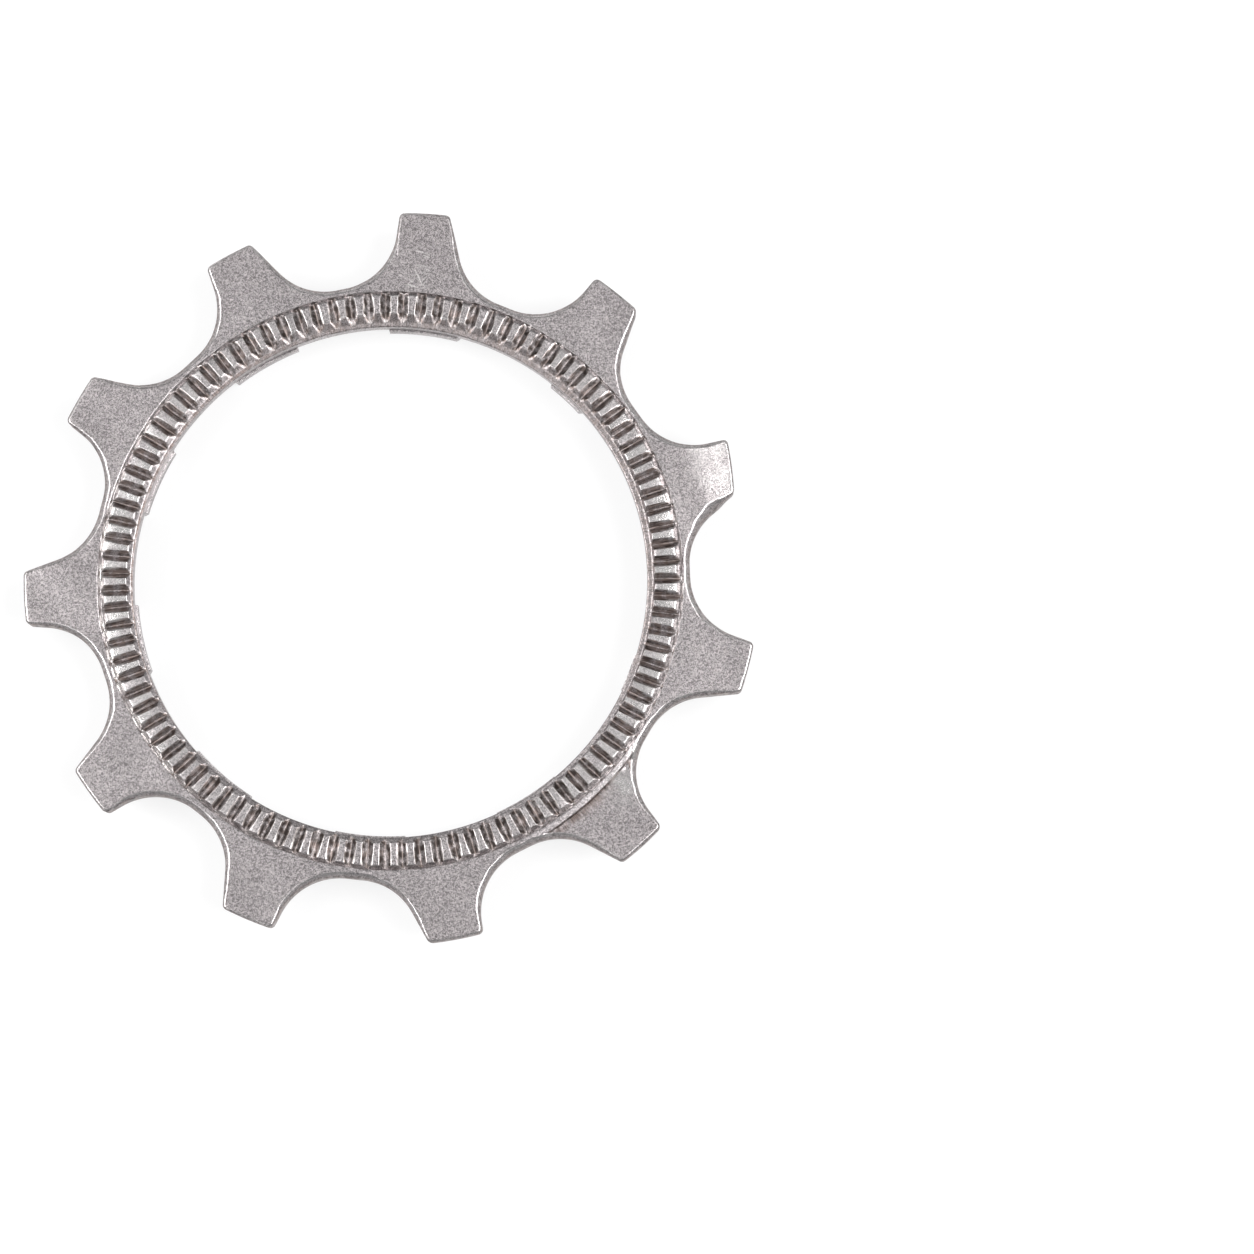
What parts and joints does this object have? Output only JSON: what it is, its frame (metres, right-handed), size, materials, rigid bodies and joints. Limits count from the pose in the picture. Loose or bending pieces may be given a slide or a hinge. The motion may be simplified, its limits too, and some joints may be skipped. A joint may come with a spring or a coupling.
{
  "type": "cassette cog",
  "caption": "Smallest cog of a bicycle cassette, with a serrated ring for the lock ring on its face and a splined socket behind.",
  "frame": {"origin": "on the cog's axis, in the plane of the collar's back face, which is also the mouth of the splined socket", "axes": "+Z along the axle, out of the serrated front face that the lock ring presses on; +X and +Y lie in the plane of the teeth, and the picture shows +X to the right and +Y up"},
  "size_m": [0.0454, 0.0459, 0.0037],
  "materials": {
    "cog": "satin"
  },
  "bodies": {
    "root": {"cog": "cog"}
  },
  "joints": []
}
